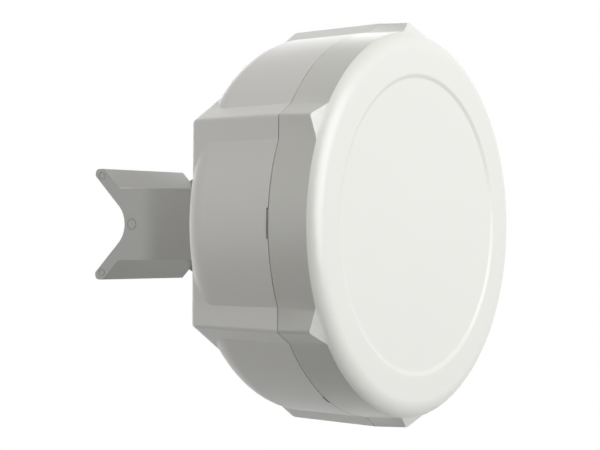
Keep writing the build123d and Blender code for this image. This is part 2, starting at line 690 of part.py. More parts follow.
def cable_grommet():
    wall_in = SIDE_INNER_X - PANEL_TAPER - GROMMET_SKEW
    wall_out = PANEL_R + GROMMET_GAP
    body = rod_x(GROMMET_NECK_R, wall_in, wall_out, JACK_Y)
    body += block(wall_in, wall_out, DOOR_Y0 + DOOR_GAP, JACK_Y, -GROMMET_NECK_R, GROMMET_NECK_R)
    body += rod_x(GROMMET_FLANGE_R - DOOR_GAP, wall_in - GROMMET_FLANGE, wall_in, JACK_Y)
    body += rod_x(GROMMET_FLANGE_R - DOOR_GAP, wall_out, wall_out + GROMMET_FLANGE, JACK_Y)
    return body - rod_x(CABLE_R, wall_in - GROMMET_FLANGE - CUT, wall_out + GROMMET_FLANGE + CUT, JACK_Y)


# ---- tilt pivot and mast bracket --------------------------------------------------------------
def pivot_washers():
    rings = []
    for side in (-1, 1):
        inner = side * (WEB_HALF + WASHER_GAP)
        outer = side * (WEB_HALF + WASHER_GAP + WASHER_THICK)
        bore = rod_z(PIVOT_R, 0, outer * 2, 0, PIVOT_Y)
        rings.append(rod_z(WASHER_R, inner, outer, 0, PIVOT_Y) - bore)
    return group(rings)


def hex_block(across_flats, z0, z1):
    shape = Pos(0, PIVOT_Y, z0) * RegularPolygon(across_flats / 2, 6, major_radius=False)
    return extrude(shape, amount=z1 - z0, dir=(0, 0, 1))


def pivot_bolt():
    head = EAR_OUT + HEAD_GAP
    tip = -(EAR_OUT + HEAD_GAP + NUT_H + THREAD_OUT)
    shank = rod_z(PIVOT_R - PIVOT_GAP, tip, head, 0, PIVOT_Y)
    return shank + hex_block(HEX_HEAD_AF, head, head + HEX_HEAD_H)


def pivot_nut():
    top = -(EAR_OUT + HEAD_GAP)
    bore = rod_z(PIVOT_R, top - NUT_H - CUT, top + CUT, 0, PIVOT_Y)
    return hex_block(HEX_HEAD_AF, top - NUT_H, top) - bore


def notch_cut(x0, x1):
    """Pole notch: two 45-degree faces and a rounded bottom."""
    tangent = SADDLE_R * math.sqrt(0.5)
    reach = JAW_HALF_HEIGHT * 2
    wedge = prism_x([(SADDLE_Y - tangent, -tangent), (SADDLE_Y - tangent + reach, -tangent - reach),
                     (SADDLE_Y - tangent + reach, tangent + reach), (SADDLE_Y - tangent, tangent)], x0, x1)
    return wedge + rod_x(SADDLE_R, x0, x1, SADDLE_Y)


def jaw_points():
    """Where the jaws' outer faces start at the waist, and where they end at the top."""
    # both faces lie at 45 degrees, with the outer one JAW_WALL outside the notch face
    inner_offset = SADDLE_R * math.sqrt(2) - SADDLE_Y
    outer_offset = inner_offset + JAW_WALL * math.sqrt(2)
    waist_y = WEB_HALF - outer_offset
    top_y = JAW_HALF_HEIGHT - outer_offset
    return waist_y, top_y


def flank_profile():
    """Plan outline (x, y) of the web from the knuckle to the jaws."""
    waist_y = jaw_points()[0]
    back_y = NOTCH_Y - FLANK_LENGTH
    neck_y = PIVOT_Y + NECK_LENGTH
    return [(-KNUCKLE_R, PIVOT_Y), (-KNUCKLE_R, neck_y), (-JAW_HALF, back_y), (-JAW_HALF, waist_y),
            (JAW_HALF, waist_y), (JAW_HALF, back_y), (KNUCKLE_R, neck_y), (KNUCKLE_R, PIVOT_Y)]


def window_profile():
    """Plan outline (x, y) of the strap window inside the web."""
    inner = JAW_HALF - FLANK_WALL
    front = NOTCH_Y - JAW_BACK
    bend = NOTCH_Y - FLANK_LENGTH
    root_x = KNUCKLE_R - FLANK_WALL
    root_y = PIVOT_Y + NECK_LENGTH + WINDOW_ROOT / 2
    side = bend + WINDOW_LEAD
    right = [(inner, front), (inner, side), (root_x, root_y)]
    return [(-x, y) for x, y in reversed(right)] + right


def tip_mark_z():
    return JAW_HALF_HEIGHT - TIP_MARK_IN


def tip_mark_y():
    """Places a tip mark midway between a jaw's two faces."""
    return jaw_points()[0] + tip_mark_z() - WEB_HALF + JAW_WALL * math.sqrt(0.5)


def ring_mark(x, y, z, r):
    """Shallow ejector ring in the near end of the jaws."""
    outer = rod_x(r, x - MARK_DEPTH, x + MARK_DEPTH, y, z)
    return outer - rod_x(r - MARK_WIDTH, x - CUT, x + CUT, y, z)


def jaws():
    waist_y, top_y = jaw_points()
    back = NOTCH_Y - JAW_BACK
    tip_y = SADDLE_Y + JAW_REACH
    lower = [(back, -WEB_HALF), (waist_y, -WEB_HALF), (top_y, -JAW_HALF_HEIGHT), (tip_y, -JAW_HALF_HEIGHT)]
    upper = [(y, -z) for y, z in reversed(lower)]
    body = prism_x(lower + upper, -JAW_HALF, JAW_HALF)
    tips = body.edges().filter_by(Axis.X).filter_by(lambda e: abs(e.center().Y - tip_y) < NEAR)
    return fillet(tips, JAW_TIP_FILLET)


def web():
    body = prism_z(flank_profile(), -WEB_HALF, WEB_HALF)
    bend_y = NOTCH_Y - FLANK_LENGTH
    bends = body.edges().filter_by(Axis.Z).filter_by(lambda e: abs(e.center().Y - bend_y) < NEAR)
    return fillet(bends, FLANK_FILLET) + rod_z(KNUCKLE_R, -WEB_HALF, WEB_HALF, 0, PIVOT_Y)


def end_plate():
    """Flange at one end of the jaws that keeps the clamp band in place."""
    y1 = jaw_points()[1] - END_PLATE
    body = block(JAW_HALF, JAW_HALF + END_PLATE, y1 - END_PLATE_LENGTH, y1, -END_PLATE_HALF, END_PLATE_HALF)
    return fillet(body.edges().filter_by(Axis.X), END_PLATE)


def mast_bracket():
    waist_y = jaw_points()[0]
    body = jaws() + web()
    waist = body.edges().filter_by(Axis.X).filter_by(lambda e: abs(e.center().Y - waist_y) < NEAR)
    body = fillet(waist, WAIST_FILLET)
    body -= prism_z(window_profile(), -WEB_HALF - CUT, WEB_HALF + CUT)
    body += end_plate()
    body -= notch_cut(-JAW_HALF - CUT, JAW_HALF + END_PLATE + CUT)
    body -= rod_z(PIVOT_R, -WEB_HALF - CUT, WEB_HALF + CUT, 0, PIVOT_Y)
    for z in (-tip_mark_z(), 0.0, tip_mark_z()):
        r = MARK_R if z == 0 else TIP_MARK_R
        y = NOTCH_Y - MARK_FROM_NOTCH if z == 0 else tip_mark_y()
        body -= ring_mark(-JAW_HALF, y, z, r)
    return body


NODES = {
    "front_cover": front_cover,
    "rear_housing": rear_housing,
    "cover_gasket": cover_gasket,
    "reflector_tray": reflector_tray,
    "tray_screws": tray_screws,
    "feed_board": feed_board,
    "feed_spacers": feed_spacers,
    "feed_screws": feed_screws,
    "patch_plates": patch_plates,
    "patch_posts": patch_posts,
    "feed_pins": feed_pins,
    "main_board": main_board,
    "board_screws": board_screws,
    "rf_shield": rf_shield,
    "processor": processor,
    "memory_chip": memory_chip,
    "line_transformer": line_transformer,
    "capacitors": capacitors,
    "ethernet_jack": ethernet_jack,
    "jack_contacts": jack_contacts,
    "status_leds": status_leds,
    "light_pipe": light_pipe,
    "reset_switch": reset_switch,
    "reset_button": reset_button,
    "cable_door": cable_door,
    "cable_grommet": cable_grommet,
    "pivot_washers": pivot_washers,
    "pivot_bolt": pivot_bolt,
    "pivot_nut": pivot_nut,
    "mast_bracket": mast_bracket,
}

for name, make in NODES.items():
    export_step(Pos(0, -SADDLE_Y, 0) * make(), f"parts/{name}.step")
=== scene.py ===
import json
import math
import random
import bmesh
import bpy
from mathutils import Matrix, Vector


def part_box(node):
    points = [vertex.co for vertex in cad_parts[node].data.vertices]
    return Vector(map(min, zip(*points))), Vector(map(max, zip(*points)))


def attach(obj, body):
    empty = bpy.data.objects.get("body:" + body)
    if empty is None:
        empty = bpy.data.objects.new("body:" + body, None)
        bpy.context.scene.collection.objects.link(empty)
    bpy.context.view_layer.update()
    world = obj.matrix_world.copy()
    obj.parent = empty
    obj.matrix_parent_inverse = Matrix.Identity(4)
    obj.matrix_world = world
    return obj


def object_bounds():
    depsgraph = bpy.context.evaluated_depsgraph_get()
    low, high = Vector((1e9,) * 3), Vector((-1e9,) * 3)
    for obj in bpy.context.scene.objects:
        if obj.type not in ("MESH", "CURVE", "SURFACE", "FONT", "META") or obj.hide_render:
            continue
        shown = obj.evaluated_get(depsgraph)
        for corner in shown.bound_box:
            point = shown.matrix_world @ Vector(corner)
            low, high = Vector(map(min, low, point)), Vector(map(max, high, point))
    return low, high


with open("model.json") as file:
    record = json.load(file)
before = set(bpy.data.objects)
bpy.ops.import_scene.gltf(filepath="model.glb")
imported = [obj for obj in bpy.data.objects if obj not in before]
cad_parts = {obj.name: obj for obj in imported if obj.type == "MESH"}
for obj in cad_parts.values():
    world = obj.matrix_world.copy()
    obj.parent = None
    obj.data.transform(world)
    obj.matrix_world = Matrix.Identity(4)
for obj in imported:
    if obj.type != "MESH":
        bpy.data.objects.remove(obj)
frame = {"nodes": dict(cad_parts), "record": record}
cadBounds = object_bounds()
nodes = frame["nodes"]
print("frame loaded:", len(nodes), "nodes")

mm = 0.001
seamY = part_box("rear_housing")[0].y    # plane where the two covers meet


# camera
cameraSetup = {
    "azimuth": -56.0035,
    "elevation": -0.3603,
    "roll": 0.289,
    "fromSeam": (-0.58055, -0.35912, -0.00446),   # camera place from the seam's centre
    "lens": 117.83,
    "sensor": 36.0,
}


def makeCamera(setup):
    azimuth = math.radians(setup["azimuth"])
    elevation = math.radians(setup["elevation"])
    roll = math.radians(setup["roll"])
    back = Vector((math.sin(azimuth) * math.cos(elevation),
                   -math.cos(azimuth) * math.cos(elevation),
                   math.sin(elevation)))
    right = Vector((math.cos(azimuth), math.sin(azimuth), 0.0))
    up = back.cross(right)
    rolledRight = math.cos(roll) * right + math.sin(roll) * up
    rolledUp = math.cos(roll) * up - math.sin(roll) * right
    turn = Matrix((rolledRight, rolledUp, back)).transposed().to_4x4()
    place = Vector(setup["fromSeam"]) + Vector((0.0, seamY, 0.0))
    lensData = bpy.data.cameras.new("studioCamera")
    lensData.lens = setup["lens"]
    lensData.sensor_width = setup["sensor"]
    lensData.clip_start = 0.01
    lensData.clip_end = 20.0
    camera = bpy.data.objects.new("studioCamera", lensData)
    camera.matrix_world = Matrix.Translation(place) @ turn
    bpy.context.scene.collection.objects.link(camera)
    bpy.context.scene.camera = camera


makeCamera(cameraSetup)
print("camera placed")


# light and surroundings
lightCentre = Vector((0.0, seamY + 10.0 * mm, 0.0))    # the lamps point here, inside the housing
lightRig = {
    # name: direction from that centre, distance, size, power and tint
    "front": {"toward": (0.10, -1.0, 0.25), "distance": 1.1, "size": 1.0, "power": 13.2,
              "tint": (0.975, 1.0, 1.025)},
    "frontRight": {"toward": (0.9, -1.0, 0.2), "distance": 1.1, "size": 0.8, "power": 1.0},
    "frontHigh": {"toward": (-0.1, -0.9, 1.0), "distance": 1.1, "size": 0.8, "power": 2.2},
    "cameraHigh": {"toward": (-0.7, -0.8, 0.9), "distance": 1.1, "size": 0.7, "power": 1.1},
    "left": {"toward": (-1.0, 0.0, 0.0), "distance": 1.1, "size": 0.8, "power": 0.5},
    "leftLow": {"toward": (-1.0, 0.1, -0.7), "distance": 1.1, "size": 0.8, "power": 0.2},
    "rearLeft": {"toward": (-1.0, 0.9, 0.2), "distance": 1.1, "size": 0.9, "power": 3.6},
    "above": {"toward": (-0.15, 0.0, 1.0), "distance": 1.0, "size": 1.0, "power": 1.3},
    "rear": {"toward": (0.3, 1.0, 0.1), "distance": 1.1, "size": 1.0, "power": 1.5},
    "rearRight": {"toward": (1.0, 0.8, 0.35), "distance": 1.1, "size": 0.9, "power": 3.5},
}
surroundings = {
    "ambient": 0.05,      # what matt surfaces receive from all round
    "gloss": 1.10,        # what reflections see
    "seen": 1.0,          # what the camera sees behind the object
    "floorDrop": 0.8,     # floor below the body's lowest point
    "floorRadius": 0.6,
    "floorColour": (0.86, 0.86, 0.85, 1.0),
    "floorRoughness": 0.9,
}


def makeLights(rig):
    for name, spec in rig.items():
        direction = Vector(spec["toward"]).normalized()
        data = bpy.data.lights.new(name, "AREA")
        data.shape = "DISK"
        data.size = spec["size"]
        data.energy = spec["power"]
        data.color = spec.get("tint", (1.0, 1.0, 1.0))
        lamp = bpy.data.objects.new(name, data)
        lamp.location = lightCentre + direction * spec["distance"]
        lamp.rotation_mode = "QUATERNION"
        lamp.rotation_quaternion = direction.to_track_quat("Z", "Y")
        lamp.visible_camera = False
        bpy.context.scene.collection.objects.link(lamp)


def makeWorld(spec):
    world = bpy.data.worlds.new("studioWhite")
    world.use_nodes = True
    bpy.context.scene.world = world
    tree = world.node_tree
    tree.nodes.clear()
    paths = tree.nodes.new("ShaderNodeLightPath")
    gloss = tree.nodes.new("ShaderNodeMix")
    gloss.data_type = "FLOAT"
    gloss.inputs["A"].default_value = spec["seen"]
    gloss.inputs["B"].default_value = spec["gloss"]
    tree.links.new(paths.outputs["Is Glossy Ray"], gloss.inputs["Factor"])
    level = tree.nodes.new("ShaderNodeMix")
    level.data_type = "FLOAT"
    level.inputs["B"].default_value = spec["ambient"]
    tree.links.new(paths.outputs["Is Diffuse Ray"], level.inputs["Factor"])
    tree.links.new(gloss.outputs["Result"], level.inputs["A"])
    background = tree.nodes.new("ShaderNodeBackground")
    background.inputs["Color"].default_value = (1.0, 1.0, 1.0, 1.0)
    tree.links.new(level.outputs["Result"], background.inputs["Strength"])
    output = tree.nodes.new("ShaderNodeOutputWorld")
    tree.links.new(background.outputs["Background"], output.inputs["Surface"])


def makeFloor(spec):
    mesh = bpy.data.meshes.new("paleFloor")
    shape = bmesh.new()
    bmesh.ops.create_circle(shape, cap_ends=True, segments=96, radius=spec["floorRadius"])
    shape.to_mesh(mesh)
    shape.free()
    floor = bpy.data.objects.new("paleFloor", mesh)
    floor.location = (0.0, seamY, cadBounds[0].z - spec["floorDrop"])
    bpy.context.scene.collection.objects.link(floor)
    material = bpy.data.materials.new("paleFloor")
    material.use_nodes = True
    shader = material.node_tree.nodes["Principled BSDF"]
    shader.inputs["Base Color"].default_value = spec["floorColour"]
    shader.inputs["Roughness"].default_value = spec["floorRoughness"]
    mesh.materials.append(material)


bpy.context.scene.view_settings.view_transform = "Standard"
makeLights(lightRig)
makeWorld(surroundings)
makeFloor(surroundings)
print("light and floor made")


# shared effects: node groups
def newGroup(name, inputs, outputs):
    # inputs are (name, socket type, value), outputs are (name, socket type)
    group = bpy.data.node_groups.new(name, "ShaderNodeTree")
    for socketName, kind, value in inputs:
        socket = group.interface.new_socket(name=socketName, in_out="INPUT", socket_type=kind)
        socket.default_value = value
    for socketName, kind in outputs:
        group.interface.new_socket(name=socketName, in_out="OUTPUT", socket_type=kind)
    start = group.nodes.new("NodeGroupInput")
    end = group.nodes.new("NodeGroupOutput")
    return group, start, end


def addMath(tree, operation, a, b=None, clamp=False):
    node = tree.nodes.new("ShaderNodeMath")
    node.operation = operation
    node.use_clamp = clamp
    for socket, value in zip(node.inputs, (a, b)):
        if value is None:
            continue
        if isinstance(value, (int, float)):
            socket.default_value = value
        else:
            tree.links.new(value, socket)
    return node.outputs[0]


def addNoise(tree, place, scale, detail=2.0, roughness=0.5):
    node = tree.nodes.new("ShaderNodeTexNoise")
    node.inputs["Detail"].default_value = detail
    node.inputs["Roughness"].default_value = roughness
    tree.links.new(place, node.inputs["Vector"])
    if isinstance(scale, (int, float)):
        node.inputs["Scale"].default_value = scale
    else:
        tree.links.new(scale, node.inputs["Scale"])
    return node.outputs["Fac"]


def addMix(tree, factor, a, b, blend="MIX"):
    node = tree.nodes.new("ShaderNodeMix")
    node.data_type = "RGBA"
    node.blend_type = blend
    for socket, value in ((node.inputs[0], factor), (node.inputs[6], a), (node.inputs[7], b)):
        if isinstance(value, (int, float, tuple)):
            socket.default_value = value
        else:
            tree.links.new(value, socket)
    return node.outputs[2]


def addRamp(tree, factor, stops):
    node = tree.nodes.new("ShaderNodeValToRGB")
    ramp = node.color_ramp
    ramp.elements[0].position = stops[0][0]
    ramp.elements[0].color = (*[stops[0][1]] * 3, 1.0)
    ramp.elements[1].position = stops[-1][0]
    ramp.elements[1].color = (*[stops[-1][1]] * 3, 1.0)
    for position, level in stops[1:-1]:
        ramp.elements.new(position).color = (level, level, level, 1.0)
    tree.links.new(factor, node.inputs["Fac"])
    return node.outputs["Color"]


# Moulded plastic: cloudy tone, spark-eroded grain and a polish that wanders.
mouldedLook = {
    "cloudScale": 28.0,
    "speckScale": 5200.0,
    "speckRange": [(0.60, 0.0), (0.72, 1.0)],
    "speckShare": 0.10,       # how much of the speck's colour shows
    "speckColour": (0.42, 0.42, 0.40, 1.0),
    "polishScale": 60.0,
    "polishSwing": 0.05,      # change of roughness over the surface
}


def makeMouldedGroup():
    group, start, end = newGroup("mouldedSurface", [
        ("Tone", "NodeSocketColor", (0.8, 0.8, 0.8, 1.0)),
        ("Cloud", "NodeSocketFloat", 0.04),
        ("Grain Scale", "NodeSocketFloat", 2600.0),
        ("Grain", "NodeSocketFloat", 0.5),
        ("Base Roughness", "NodeSocketFloat", 0.45),
    ], [("Color", "NodeSocketColor"), ("Roughness", "NodeSocketFloat"), ("Height", "NodeSocketFloat")])
    place = group.nodes.new("ShaderNodeTexCoord").outputs["Object"]
    cloud = addNoise(group, place, mouldedLook["cloudScale"], 3.0)
    shift = addMath(group, "MULTIPLY", addMath(group, "SUBTRACT", cloud, 0.5), start.outputs["Cloud"])
    tint = group.nodes.new("ShaderNodeHueSaturation")
    group.links.new(addMath(group, "ADD", shift, 1.0), tint.inputs["Value"])
    group.links.new(start.outputs["Tone"], tint.inputs["Color"])
    grain = addNoise(group, place, start.outputs["Grain Scale"], 3.0, 0.6)
    speck = addRamp(group, addNoise(group, place, mouldedLook["speckScale"], 1.0), mouldedLook["speckRange"])
    speckShare = addMath(group, "MULTIPLY", speck, start.outputs["Grain"])
    spotted = addMix(group, addMath(group, "MULTIPLY", speckShare, mouldedLook["speckShare"]),
                     tint.outputs["Color"], mouldedLook["speckColour"])
    group.links.new(spotted, end.inputs["Color"])
    wander = addMath(group, "SUBTRACT", addNoise(group, place, mouldedLook["polishScale"], 3.0), 0.5)
    polish = addMath(group, "MULTIPLY", wander, mouldedLook["polishSwing"])
    group.links.new(addMath(group, "ADD", polish, start.outputs["Base Roughness"], clamp=True),
                    end.inputs["Roughness"])
    group.links.new(addMath(group, "MULTIPLY", grain, start.outputs["Grain"]), end.inputs["Height"])
    return group


# Fine dust that settles on what faces up.
dustLook = {
    "patchScale": 160.0,
    "patchRange": [(0.42, 0.2), (0.68, 1.0)],
    "upwardRange": [(0.55, 0.0), (0.98, 1.0)],    # from steep to level faces
    "colour": (0.60, 0.58, 0.54, 1.0),
    "roughening": 0.4,
}


def makeDustGroup():
    group, start, end = newGroup("settledDust", [
        ("Color", "NodeSocketColor", (0.8, 0.8, 0.8, 1.0)),
        ("Roughness", "NodeSocketFloat", 0.5),
        ("Dust", "NodeSocketFloat", 0.1),
    ], [("Color", "NodeSocketColor"), ("Roughness", "NodeSocketFloat")])
    geometry = group.nodes.new("ShaderNodeNewGeometry")
    split = group.nodes.new("ShaderNodeSeparateXYZ")
    group.links.new(geometry.outputs["Normal"], split.inputs[0])
    place = group.nodes.new("ShaderNodeTexCoord").outputs["Object"]
    patches = addRamp(group, addNoise(group, place, dustLook["patchScale"], 5.0, 0.65), dustLook["patchRange"])
    upward = addRamp(group, split.outputs["Z"], dustLook["upwardRange"])
    share = addMath(group, "MULTIPLY", addMath(group, "MULTIPLY", patches, upward), start.outputs["Dust"], True)
    group.links.new(addMix(group, share, start.outputs["Color"], dustLook["colour"]), end.inputs["Color"])
    duller = addMath(group, "MULTIPLY", share, dustLook["roughening"])
    group.links.new(addMath(group, "ADD", start.outputs["Roughness"], duller, True), end.inputs["Roughness"])
    return group


# Rolled or machined metal: drawn lines along X, small stains and worn roughness.
metalLook = {
    "lineScale": (60.0, 2600.0, 2600.0),    # long along X
    "lineRoughness": 0.12,
    "stainScale": 140.0,
    "stainRange": [(0.45, 0.0), (0.75, 1.0)],
    "stainColour": (0.22, 0.20, 0.18, 1.0),
    "stainRoughness": 0.5,
}


def makeMetalGroup():
    group, start, end = newGroup("workedMetal", [
        ("Tone", "NodeSocketColor", (0.7, 0.7, 0.7, 1.0)),
        ("Stain", "NodeSocketFloat", 0.2),
        ("Draw", "NodeSocketFloat", 0.4),
        ("Base Roughness", "NodeSocketFloat", 0.3),
    ], [("Color", "NodeSocketColor"), ("Roughness", "NodeSocketFloat"), ("Height", "NodeSocketFloat")])
    place = group.nodes.new("ShaderNodeTexCoord").outputs["Object"]
    stretch = group.nodes.new("ShaderNodeMapping")
    stretch.inputs["Scale"].default_value = metalLook["lineScale"]
    group.links.new(place, stretch.inputs["Vector"])
    lines = addNoise(group, stretch.outputs["Vector"], 1.0, 3.0, 0.6)
    stains = addRamp(group, addNoise(group, place, metalLook["stainScale"], 5.0, 0.6), metalLook["stainRange"])
    share = addMath(group, "MULTIPLY", stains, start.outputs["Stain"])
    group.links.new(addMix(group, share, start.outputs["Tone"], metalLook["stainColour"]), end.inputs["Color"])
    duller = addMath(group, "MULTIPLY", share, metalLook["stainRoughness"])
    rough = addMath(group, "ADD", start.outputs["Base Roughness"], duller)
    worn = addMath(group, "MULTIPLY", lines, metalLook["lineRoughness"])
    group.links.new(addMath(group, "ADD", rough, worn, True), end.inputs["Roughness"])
    group.links.new(addMath(group, "MULTIPLY", lines, start.outputs["Draw"]), end.inputs["Height"])
    return group


mouldedGroup = makeMouldedGroup()
dustGroup = makeDustGroup()
metalGroup = makeMetalGroup()
print("effect groups made")


# materials
reliefDepth = 0.02 * mm    # height of the grain that the bump stands for
edgeSamples = 6            # rays for each shading bevel


# A Principled material and, for softEdge above 0, a shading bevel of that radius.
def startMaterial(name, softEdge=0.0):
    material = bpy.data.materials.new(name)
    material.use_nodes = True
    tree = material.node_tree
    shader = tree.nodes["Principled BSDF"]
    bump = tree.nodes.new("ShaderNodeBump")
    bump.inputs["Distance"].default_value = reliefDepth
    bump.inputs["Strength"].default_value = 0.5
    tree.links.new(bump.outputs["Normal"], shader.inputs["Normal"])
    if softEdge > 0:
        bevel = tree.nodes.new("ShaderNodeBevel")
        bevel.samples = edgeSamples
        bevel.inputs["Radius"].default_value = softEdge
        tree.links.new(bevel.outputs["Normal"], bump.inputs["Normal"])
    return material, tree, shader, bump


def placeGroup(tree, group, values):
    node = tree.nodes.new("ShaderNodeGroup")
    node.node_tree = group
    for name, value in values.items():
        if isinstance(value, (int, float, tuple)):
            node.inputs[name].default_value = value
        else:
            tree.links.new(value, node.inputs[name])
    return node


plastics = {
    # name: tone, cloud, grain scale, grain, roughness, dust, bump, soft edge, shine
    # radomeWhite's tone is set lower than housingGrey's as painted shade: the front cover is the same white
    # plastic as the housing, and the lower tone stands in for the dimmer light on its sides.
    "radomeWhite": ((0.648, 0.640, 0.596), 0.015, 2400.0, 0.35, 0.32, 0.0, 0.10, 0.3 * mm, 0.5),
    "housingGrey": ((0.750, 0.740, 0.706), 0.020, 2400.0, 0.45, 0.40, 0.05, 0.15, 0.25 * mm, 0.5),
    # bracketGrey's tone is the bracket's grey plastic, set lower than housingGrey's as painted shade for the
    # shadow that the body throws on the bracket.
    "bracketGrey": ((0.640, 0.637, 0.614), 0.030, 2000.0, 0.60, 0.42, 0.05, 0.20, 0.25 * mm, 0.2),
    "softRubber": ((0.035, 0.035, 0.036), 0.100, 1800.0, 0.80, 0.62, 0.10, 0.40, 0.15 * mm, 0.5),
    "spacerNylon": ((0.740, 0.725, 0.660), 0.050, 1600.0, 0.50, 0.45, 0.00, 0.20, 0.10 * mm, 0.5),
    "jackShell": ((0.028, 0.028, 0.030), 0.080, 2600.0, 0.60, 0.38, 0.05, 0.25, 0.10 * mm, 0.5),
    "blackResin": ((0.022, 0.022, 0.024), 0.100, 3200.0, 0.80, 0.50, 0.05, 0.30, 0.06 * mm, 0.5),
    "buttonRed": ((0.420, 0.030, 0.022), 0.050, 2600.0, 0.40, 0.35, 0.00, 0.15, 0.10 * mm, 0.5),
    "ceramicTan": ((0.430, 0.330, 0.220), 0.060, 3200.0, 0.50, 0.40, 0.05, 0.20, 0.04 * mm, 0.5),
    "ledWhite": ((0.830, 0.810, 0.700), 0.020, 3000.0, 0.30, 0.30, 0.00, 0.10, 0.05 * mm, 0.5),
}
metals = {
    # name: tone, stain, drawn lines, roughness, soft edge
    "trayAluminium": ((0.720, 0.725, 0.735), 0.10, 0.35, 0.28, 0.10 * mm),
    "zincSteel": ((0.620, 0.630, 0.640), 0.18, 0.20, 0.26, 0.12 * mm),
    "boltSteel": ((0.560, 0.560, 0.550), 0.25, 0.30, 0.28, 0.20 * mm),
    "shieldSteel": ((0.680, 0.675, 0.650), 0.12, 0.30, 0.24, 0.10 * mm),
    "patchBrass": ((0.780, 0.560, 0.260), 0.12, 0.40, 0.25, 0.06 * mm),
    "goldContact": ((0.930, 0.680, 0.280), 0.05, 0.20, 0.18, 0.04 * mm),
    "capacitorCan": ((0.700, 0.705, 0.715), 0.08, 0.50, 0.22, 0.25 * mm),
}


def makePlastic(name):
    tone, cloud, grainScale, grain, roughness, dust, relief, softEdge, shine = plastics[name]
    material, tree, shader, bump = startMaterial(name, softEdge)
    surface = placeGroup(tree, mouldedGroup, {
        "Tone": (*tone, 1.0), "Cloud": cloud, "Grain Scale": grainScale, "Grain": grain,
        "Base Roughness": roughness})
    settled = placeGroup(tree, dustGroup, {
        "Color": surface.outputs["Color"], "Roughness": surface.outputs["Roughness"], "Dust": dust})
    tree.links.new(settled.outputs["Color"], shader.inputs["Base Color"])
    tree.links.new(settled.outputs["Roughness"], shader.inputs["Roughness"])
    tree.links.new(surface.outputs["Height"], bump.inputs["Height"])
    bump.inputs["Strength"].default_value = relief
    shader.inputs["Specular IOR Level"].default_value = shine
    return material


def makeMetal(name):
    tone, stain, drawn, roughness, softEdge = metals[name]
    material, tree, shader, bump = startMaterial(name, softEdge)
    surface = placeGroup(tree, metalGroup, {
        "Tone": (*tone, 1.0), "Stain": stain, "Draw": drawn, "Base Roughness": roughness})
    tree.links.new(surface.outputs["Color"], shader.inputs["Base Color"])
    tree.links.new(surface.outputs["Roughness"], shader.inputs["Roughness"])
    tree.links.new(surface.outputs["Height"], bump.inputs["Height"])
    shader.inputs["Metallic"].default_value = 1.0
    return material


# Solder mask over faint copper tracks.
boardLook = {
    "trackScale": 260.0,
    "trackGap": 0.012,
    "trackLength": 2.6,
    "trackWidth": 0.32,
    "mask": (0.012, 0.100, 0.040, 1.0),
    "overTrack": (0.030, 0.190, 0.075, 1.0),
}


def makeBoardGreen():
    material, tree, shader, bump = startMaterial("boardGreen")
    place = tree.nodes.new("ShaderNodeTexCoord").outputs["Object"]
    cells = tree.nodes.new("ShaderNodeTexBrick")
    turn = tree.nodes.new("ShaderNodeMapping")
    turn.inputs["Rotation"].default_value = (math.radians(90.0), 0.0, 0.0)
    tree.links.new(place, turn.inputs["Vector"])
    tree.links.new(turn.outputs["Vector"], cells.inputs["Vector"])
    cells.inputs["Scale"].default_value = boardLook["trackScale"]
    cells.inputs["Mortar Size"].default_value = boardLook["trackGap"]
    cells.inputs["Brick Width"].default_value = boardLook["trackLength"]
    cells.inputs["Row Height"].default_value = boardLook["trackWidth"]
    tracks = addMix(tree, cells.outputs["Fac"], boardLook["mask"], boardLook["overTrack"])
    surface = placeGroup(tree, mouldedGroup, {
        "Tone": tracks, "Cloud": 0.15, "Grain Scale": 900.0, "Grain": 0.4, "Base Roughness": 0.34})
    tree.links.new(surface.outputs["Color"], shader.inputs["Base Color"])
    tree.links.new(surface.outputs["Roughness"], shader.inputs["Roughness"])
    height = addMath(tree, "ADD", surface.outputs["Height"], cells.outputs["Fac"])
    tree.links.new(height, bump.inputs["Height"])
    return material


# Clear acrylic, slightly hazy all through.
pipeLook = {"tone": (0.90, 0.93, 0.92, 1.0), "clear": 0.85, "index": 1.49}


def makeClearPipe():
    material, tree, shader, bump = startMaterial("clearPipe")
    surface = placeGroup(tree, mouldedGroup, {
        "Tone": pipeLook["tone"], "Cloud": 0.02, "Grain Scale": 1500.0, "Grain": 0.3,
        "Base Roughness": 0.10})
    tree.links.new(surface.outputs["Color"], shader.inputs["Base Color"])
    tree.links.new(surface.outputs["Roughness"], shader.inputs["Roughness"])
    tree.links.new(surface.outputs["Height"], bump.inputs["Height"])
    shader.inputs["Transmission Weight"].default_value = pipeLook["clear"]
    shader.inputs["IOR"].default_value = pipeLook["index"]
    return material


materials = {name: makePlastic(name) for name in plastics}
materials.update({name: makeMetal(name) for name in metals})
materials["boardGreen"] = makeBoardGreen()
materials["clearPipe"] = makeClearPipe()

slotMaterials = {
    "radome_white": "radomeWhite", "housing_grey": "housingGrey", "bracket_grey": "bracketGrey",
    "soft_rubber": "softRubber", "tray_aluminium": "trayAluminium", "zinc_steel": "zincSteel",
    "shield_steel": "shieldSteel", "jack_shell": "jackShell", "green_board": "boardGreen",
    "spacer_nylon": "spacerNylon", "patch_brass": "patchBrass", "gold_contact": "goldContact",
    "black_resin": "blackResin", "capacitor_can": "capacitorCan", "led_white": "ledWhite",
    "clear_pipe": "clearPipe", "button_red": "buttonRed", "bolt_steel": "boltSteel",
}


def paintNodes():
    for part in frame["record"]["subparts"]:
        node = nodes[part["node"]]
        material = materials[slotMaterials[part["material_slot"]]]
        if not node.material_slots:
            node.data.materials.append(material)
        for materialSlot in node.material_slots:
            materialSlot.material = material


# shading normals from the faces themselves, which keeps the highlight whole at the centre of the recess
evenSetup = {"weld": 0.001 * mm, "splitAngle": 28.0, "weight": 50}


def evenShading(name, setup):
    weld = nodes[name].modifiers.new("weld", "WELD")
    weld.merge_threshold = setup["weld"]
    split = nodes[name].modifiers.new("split", "EDGE_SPLIT")
    split.split_angle = math.radians(setup["splitAngle"])
    even = nodes[name].modifiers.new("even", "WEIGHTED_NORMAL")
    even.weight = setup["weight"]


paintNodes()
evenShading("front_cover", evenSetup)
print("materials placed")


